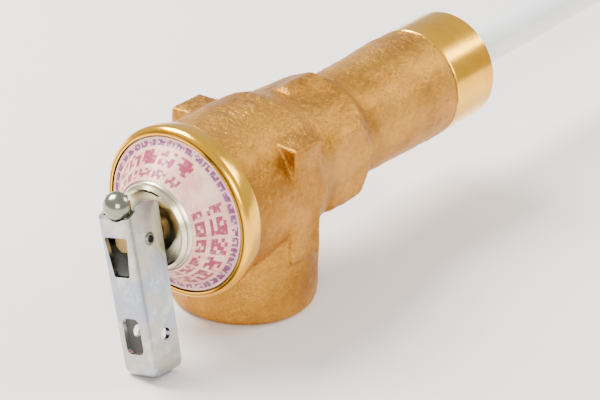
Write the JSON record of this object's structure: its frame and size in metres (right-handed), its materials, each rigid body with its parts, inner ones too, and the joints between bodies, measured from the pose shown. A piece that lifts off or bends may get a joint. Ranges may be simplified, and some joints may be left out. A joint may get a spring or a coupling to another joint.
{
  "type": "pressure relief valve",
  "caption": "Bronze pressure relief valve with an extended shank, side outlet, conical bonnet cap, swinging test lever and coated thermostat probe.",
  "frame": {"origin": "on the valve axis at the shoulder where the inlet spigot leaves the neck", "axes": "+X along the valve axis out of the inlet towards the probe's tip, bonnet and lever towards -X, outlet towards -Z"},
  "size_m": [0.252, 0.039, 0.049],
  "materials": {
    "cast_bronze": "rough sand-cast bronze with machined ends",
    "gasket_fibre": "compressed fibre",
    "plated_steel": "bright zinc plate",
    "printed_plate": "satin foil with printed rings",
    "collar_metal": "nickel plated, turned",
    "guide_brass": "turned brass",
    "stem_brass": "turned brass rod",
    "spring_steel": "stainless spring wire",
    "seat_rubber": "silicone rubber",
    "copper": "drawn copper tube",
    "wax": "expansion wax",
    "white_coating": "moulded plastic coating",
    "zinc_lever": "pressed steel with clear zinc plate",
    "black_seal": "rubber"
  },
  "bodies": {
    "valve": {"valve_body": "cast_bronze", "cap_gasket": "gasket_fibre", "bonnet_cap": "plated_steel", "label_plate": "printed_plate", "bonnet_collar": "collar_metal", "stem_guide": "guide_brass", "upper_spring_seat": "plated_steel", "main_spring": "spring_steel", "probe_retainer": "guide_brass", "probe_head": "guide_brass", "rod_seal": "black_seal", "probe_tube": "copper", "thermostat_wax": "wax", "probe_plug": "guide_brass", "probe_coating": "white_coating"},
    "lift": {"disc_holder": "guide_brass", "seat_disc": "seat_rubber", "disc_washer": "plated_steel", "disc_screw": "plated_steel", "lower_spring_seat": "plated_steel", "stem_clip": "guide_brass"},
    "stem": {"stem": "stem_brass", "lever_pin": "plated_steel"},
    "lever": {"test_lever": "zinc_lever", "lever_button": "zinc_lever"},
    "thermostat_rod": {"push_rod": "plated_steel"}
  },
  "joints": [
    {"name": "stem_lift", "type": "slide", "parent": "valve", "child": "lift", "axis": [-1, 0, 0], "range_m": [0, 0.0044], "stiffness_N_per_m": 12000, "springref_m": -0.012, "deforming": ["main_spring"]},
    {"name": "stem_swivel", "type": "hinge", "parent": "lift", "child": "stem", "pos_m": [-0.0581, 0, 0], "axis": [1, 0, 0], "continuous": true},
    {"name": "lever_pivot", "type": "hinge", "parent": "stem", "child": "lever", "pos_m": [-0.1007, 0, 0], "axis": [0, 0.9636, -0.2672], "range_deg": [0, 65]},
    {"name": "rod_travel", "type": "slide", "parent": "valve", "child": "thermostat_rod", "axis": [-1, 0, 0], "range_m": [0, 0.0012]}
  ],
  "couplings": [
    {"joint": "lever_pivot", "follows": "stem_lift", "rad_per_m": 256.41}
  ]
}
